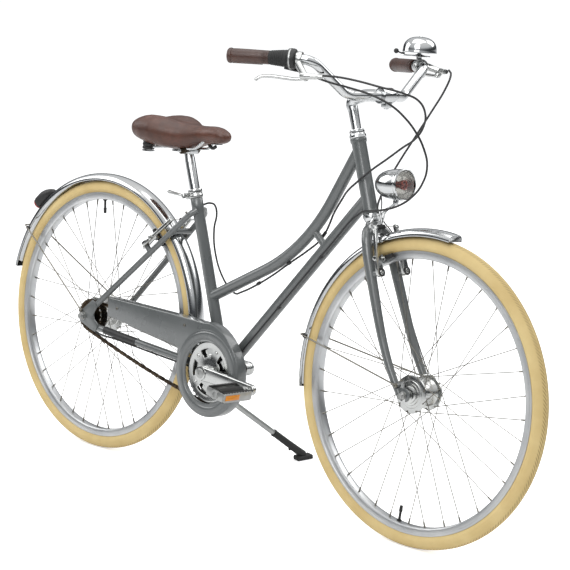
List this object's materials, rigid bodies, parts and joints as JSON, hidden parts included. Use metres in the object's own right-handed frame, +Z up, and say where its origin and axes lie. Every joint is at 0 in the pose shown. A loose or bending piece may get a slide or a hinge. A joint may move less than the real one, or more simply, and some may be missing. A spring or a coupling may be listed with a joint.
{
  "type": "bicycle",
  "caption": "City bicycle with a low curved top tube, swept handlebar, rim brakes, chain guard, mudguards and lamps, leaning on its side stand.",
  "frame": {"origin": "middle of the bottom of the bounding box, on the ground", "axes": "+X forward along the bike, +Y to the rider's left, +Z up; the bike leans 6.5 degrees towards +Y onto its stand"},
  "size_m": [1.7856, 0.5828, 1.0988],
  "materials": {
    "black_plastic": "moulded black plastic",
    "black_rubber": "matt black rubber",
    "brown_leather": "brown grained cover",
    "chrome": "polished chrome",
    "clear_plastic": "clear lens",
    "dark_steel": "dark oiled steel",
    "grey_enamel": "gloss grey enamel",
    "khaki_rubber": "khaki tyre rubber with a fine tread",
    "polished_alloy": "polished aluminium",
    "red_plastic": "red lens",
    "satin_alloy": "satin aluminium"
  },
  "bodies": {
    "frame": {"frame": "grey_enamel", "headset_upper_cup": "chrome", "headset_lower_cup": "chrome", "seat_clamp": "polished_alloy", "chain_guard": "grey_enamel", "rear_fender": "chrome", "rear_fender_stay": "polished_alloy", "rear_light_housing": "black_plastic", "rear_light_lens": "red_plastic", "kickstand_mount": "satin_alloy", "bottom_bracket_cartridge": "dark_steel", "chain": "dark_steel", "rear_brake_cable": "black_rubber", "shift_cable": "black_rubber", "rear_axle": "satin_alloy", "shift_cassette": "black_plastic"},
    "seat_post": {"seat_post": "polished_alloy", "saddle_rails": "chrome", "saddle": "brown_leather", "saddle_pan": "black_plastic"},
    "seat_clamp_lever": {"seat_clamp_lever": "polished_alloy"},
    "crank": {"crank_spindle": "dark_steel", "crank_right": "polished_alloy", "chainring": "polished_alloy", "crank_left": "polished_alloy"},
    "pedal_right": {"pedal_right": "satin_alloy"},
    "pedal_left": {"pedal_left": "satin_alloy"},
    "rear_sprocket": {"rear_sprocket": "dark_steel"},
    "rear_wheel": {"rear_hub": "satin_alloy", "rear_rim": "satin_alloy", "rear_tyre": "khaki_rubber"},
    "fork": {"fork": "grey_enamel", "stem": "polished_alloy", "handlebar": "polished_alloy", "grip_right": "brown_leather", "grip_left": "brown_leather", "shifter_housing": "black_plastic", "brake_bracket_right": "polished_alloy", "brake_bracket_left": "polished_alloy", "bell": "chrome", "headlight_shell": "chrome", "headlight_lens": "clear_plastic", "headlight_bracket": "polished_alloy", "front_fender": "chrome", "front_fender_stay": "polished_alloy", "front_axle": "satin_alloy", "front_brake_cable": "black_rubber"},
    "shifter_grip": {"shifter_grip": "black_rubber"},
    "brake_lever_right": {"brake_lever_right": "polished_alloy"},
    "brake_lever_left": {"brake_lever_left": "polished_alloy"},
    "front_brake_arm_right": {"front_brake_arm_right": "polished_alloy"},
    "front_brake_arm_left": {"front_brake_arm_left": "polished_alloy"},
    "rear_brake_arm_right": {"rear_brake_arm_right": "polished_alloy"},
    "rear_brake_arm_left": {"rear_brake_arm_left": "polished_alloy"},
    "bell_lever": {"bell_lever": "black_plastic"},
    "front_wheel": {"front_hub": "polished_alloy", "front_rim": "satin_alloy", "front_tyre": "khaki_rubber"},
    "kickstand": {"kickstand_leg": "satin_alloy", "kickstand_foot": "black_rubber"}
  },
  "joints": [
    {"name": "steering", "type": "hinge", "parent": "frame", "child": "fork", "pos_m": [0.49672, -0.08163, 0.32885], "axis": [-0.3338, 0.1067, 0.9366], "range_deg": [-60, 60], "deforming": ["rear_brake_cable", "shift_cable"]},
    {"name": "front_wheel_spin", "type": "hinge", "parent": "fork", "child": "front_wheel", "pos_m": [0.5448, -0.0797, 0.34576], "axis": [0, 0.9936, -0.1132], "continuous": true},
    {"name": "rear_wheel_spin", "type": "hinge", "parent": "frame", "child": "rear_wheel", "pos_m": [-0.5312, -0.0797, 0.34576], "axis": [0, 0.9936, -0.1132], "continuous": true},
    {"name": "crank_spin", "type": "hinge", "parent": "frame", "child": "crank", "pos_m": [-0.0712, -0.08694, 0.28217], "axis": [0, 0.9936, -0.1132], "range_deg": [-54, 255]},
    {"name": "sprocket_spin", "type": "hinge", "parent": "frame", "child": "rear_sprocket", "pos_m": [-0.5312, -0.0797, 0.34576], "axis": [0, 0.9936, -0.1132], "range_deg": [-115, 538]},
    {"name": "pedal_right_spin", "type": "hinge", "parent": "crank", "child": "pedal_right", "pos_m": [0.09856, -0.157, 0.2812], "axis": [0, 0.9936, -0.1132], "continuous": true},
    {"name": "pedal_left_spin", "type": "hinge", "parent": "crank", "child": "pedal_left", "pos_m": [-0.24097, -0.01688, 0.28315], "axis": [0, 0.9936, -0.1132], "continuous": true},
    {"name": "kickstand_swing", "type": "hinge", "parent": "frame", "child": "kickstand", "pos_m": [-0.1352, -0.06273, 0.2297], "axis": [-0.4452, 0.8897, -0.1014], "range_deg": [0, 141]},
    {"name": "brake_lever_right_pull", "type": "hinge", "parent": "fork", "child": "brake_lever_right", "pos_m": [0.31833, -0.21081, 1.03803], "axis": [-0.4206, 0.7758, -0.4704], "range_deg": [0, 13], "stiffness_Nm_per_rad": 0.6, "springref_deg": -20.05},
    {"name": "brake_lever_left_pull", "type": "hinge", "parent": "fork", "child": "brake_lever_left", "pos_m": [0.32763, 0.22376, 1.00965], "axis": [0.1861, 0.5059, 0.8423], "range_deg": [0, 13], "stiffness_Nm_per_rad": 0.6, "springref_deg": -20.05},
    {"name": "front_brake_arm_right_close", "type": "hinge", "parent": "fork", "child": "front_brake_arm_right", "pos_m": [0.43556, -0.09369, 0.60471], "axis": [-0.9459, -0.0367, -0.3222], "range_deg": [0, 3.2]},
    {"name": "rear_brake_arm_right_close", "type": "hinge", "parent": "frame", "child": "rear_brake_arm_right", "pos_m": [-0.34358, -0.09534, 0.55952], "axis": [-0.6862, 0.0824, 0.7228], "range_deg": [0, 3.2]},
    {"name": "front_brake_arm_left_close", "type": "hinge", "parent": "fork", "child": "front_brake_arm_left", "pos_m": [0.43556, -0.00782, 0.59493], "axis": [0.9459, 0.0367, 0.3222], "range_deg": [0, 3.2]},
    {"name": "rear_brake_arm_left_close", "type": "hinge", "parent": "frame", "child": "rear_brake_arm_left", "pos_m": [-0.34358, -0.01637, 0.55053], "axis": [0.6862, -0.0824, -0.7228], "range_deg": [0, 3.2]},
    {"name": "shifter_twist", "type": "hinge", "parent": "fork", "child": "shifter_grip", "pos_m": [0.1498, -0.27687, 1.0798], "axis": [0.8852, 0.4646, -0.0254], "range_deg": [-70, 70]},
    {"name": "bell_lever_push", "type": "hinge", "parent": "fork", "child": "bell_lever", "pos_m": [0.25143, 0.18645, 1.05317], "axis": [0, 0.1132, 0.9936], "range_deg": [0, 35], "stiffness_Nm_per_rad": 0.02, "springref_deg": -11.46},
    {"name": "seat_post_slide", "type": "slide", "parent": "frame", "child": "seat_post", "axis": [-0.3371, 0.1066, 0.9354], "range_m": [-0.08, 0.04]},
    {"name": "seat_clamp_lever_swing", "type": "hinge", "parent": "frame", "child": "seat_clamp_lever", "pos_m": [-0.2399, -0.06202, 0.69084], "axis": [-0.3371, 0.1066, 0.9354], "range_deg": [0, 150]}
  ],
  "couplings": [
    {"joint": "sprocket_spin", "follows": "crank_spin", "ratio": 2.1053},
    {"joint": "front_brake_arm_right_close", "follows": "brake_lever_left_pull", "ratio": 0.24591},
    {"joint": "front_brake_arm_left_close", "follows": "brake_lever_left_pull", "ratio": 0.24591},
    {"joint": "rear_brake_arm_right_close", "follows": "brake_lever_right_pull", "ratio": 0.24591},
    {"joint": "rear_brake_arm_left_close", "follows": "brake_lever_right_pull", "ratio": 0.24591}
  ]
}
